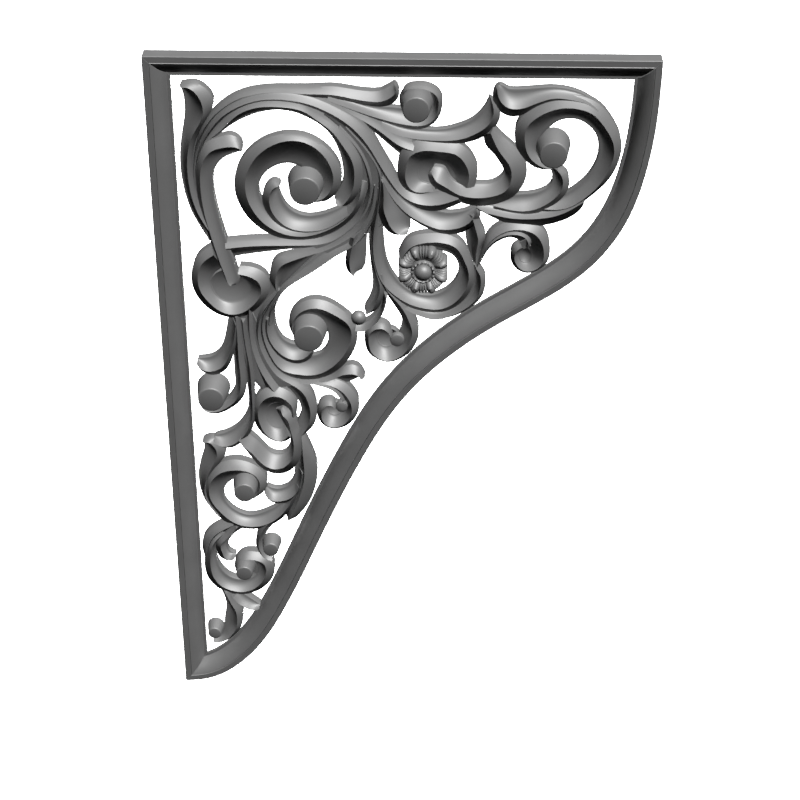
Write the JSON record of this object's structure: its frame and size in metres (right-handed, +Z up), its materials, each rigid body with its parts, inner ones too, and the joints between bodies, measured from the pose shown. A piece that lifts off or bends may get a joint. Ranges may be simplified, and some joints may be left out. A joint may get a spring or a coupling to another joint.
{
  "type": "openwork moulding corner bracket",
  "caption": "Carved openwork corner bracket for a post and beam: acanthus scrollwork with a rosette inside a moulded frame with one S-curved side.",
  "frame": {"origin": "centre of the straight side rail's outer face, where the bracket meets the post: halfway down its height and halfway through its thickness", "axes": "+X away from the post along the beam, +Y into the wall behind the flat back, +Z up towards the beam; the carved face looks along -Y"},
  "size_m": [0.325, 0.019, 0.495],
  "materials": {
    "frame_paint": "satin graphite-grey paint on moulded hardwood",
    "carving_paint": "satin graphite-grey paint on carved hardwood"
  },
  "bodies": {
    "root": {"top_rail": "frame_paint", "side_rail": "frame_paint", "curved_rail": "frame_paint", "scrollwork": "carving_paint"}
  },
  "joints": []
}
